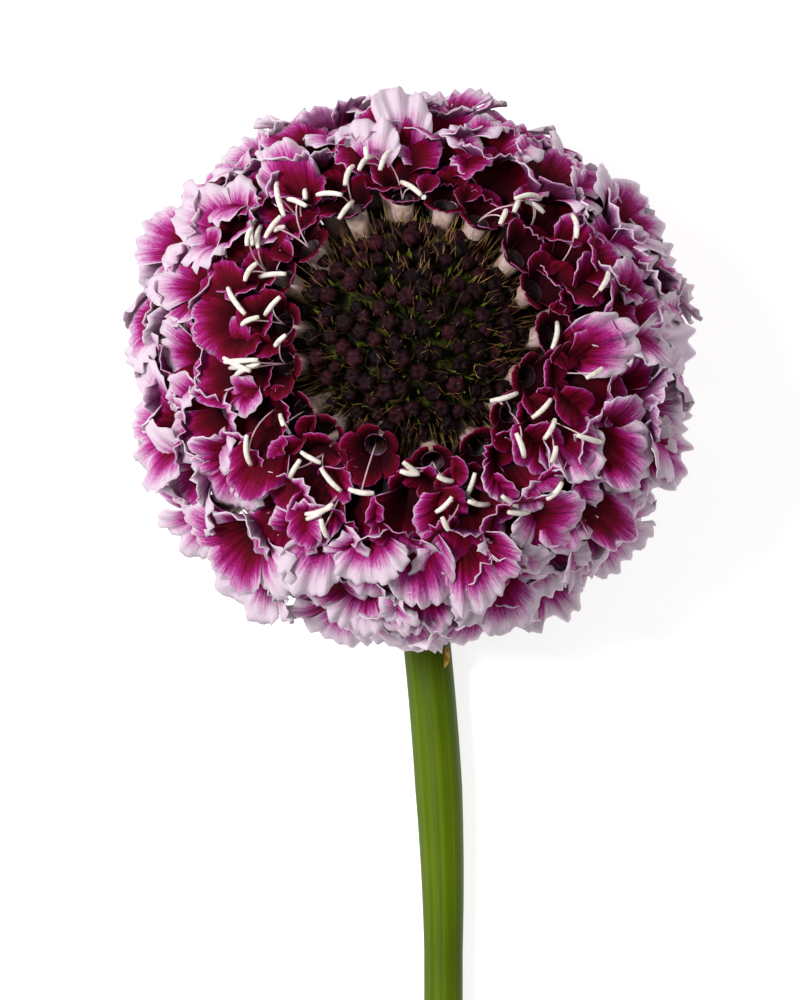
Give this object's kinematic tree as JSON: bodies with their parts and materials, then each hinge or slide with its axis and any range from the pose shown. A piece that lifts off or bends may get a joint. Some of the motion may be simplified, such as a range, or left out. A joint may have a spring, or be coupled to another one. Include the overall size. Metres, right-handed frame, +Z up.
{
  "type": "scabiosa flower",
  "caption": "Cut scabiosa flower lying face up, for a bouquet or table display: a ball of trumpet florets round a dark bud cushion, on a slender stem bent under the head.",
  "frame": {"origin": "on the table, under the middle of the flower's bounding box", "axes": "+Y from the stem's cut end towards the head, +Z up, away from the table; the face leans 13 degrees towards +Y"},
  "size_m": [0.0624, 0.1975, 0.0449],
  "materials": {
    "stem": "smooth fresh green stalk, slight sheen",
    "receptacle": "matt green plant tissue",
    "bract": "matt green leaf",
    "petal": "soft matt petal, dark crimson to magenta with pale edges",
    "bud": "purple-black buds with a greyish bloom"
  },
  "bodies": {
    "root": {"stem": "stem", "receptacle": "receptacle", "bract_1": "bract", "bract_2": "bract", "bract_3": "bract", "bract_4": "bract", "bract_5": "bract", "bract_6": "bract", "bract_7": "bract", "bract_8": "bract", "inner_floret_01": "petal", "inner_floret_02": "petal", "inner_floret_03": "petal", "inner_floret_04": "petal", "inner_floret_05": "petal", "inner_floret_06": "petal", "inner_floret_07": "petal", "inner_floret_08": "petal", "inner_floret_09": "petal", "inner_floret_10": "petal", "upper_floret_01": "petal", "upper_floret_02": "petal", "upper_floret_03": "petal", "upper_floret_04": "petal", "upper_floret_05": "petal", "upper_floret_06": "petal", "upper_floret_07": "petal", "upper_floret_08": "petal", "upper_floret_09": "petal", "upper_floret_10": "petal", "upper_floret_11": "petal", "middle_floret_01": "petal", "middle_floret_02": "petal", "middle_floret_03": "petal", "middle_floret_04": "petal", "middle_floret_05": "petal", "middle_floret_06": "petal", "middle_floret_07": "petal", "middle_floret_08": "petal", "middle_floret_09": "petal", "middle_floret_10": "petal", "middle_floret_11": "petal", "middle_floret_12": "petal", "lower_floret_01": "petal", "lower_floret_02": "petal", "lower_floret_03": "petal", "lower_floret_04": "petal", "lower_floret_05": "petal", "lower_floret_06": "petal", "lower_floret_07": "petal", "lower_floret_08": "petal", "lower_floret_09": "petal", "lower_floret_10": "petal", "basal_floret_01": "petal", "basal_floret_02": "petal", "basal_floret_03": "petal", "basal_floret_04": "petal", "basal_floret_05": "petal", "basal_floret_06": "petal", "bud_cluster": "bud"}
  },
  "joints": []
}
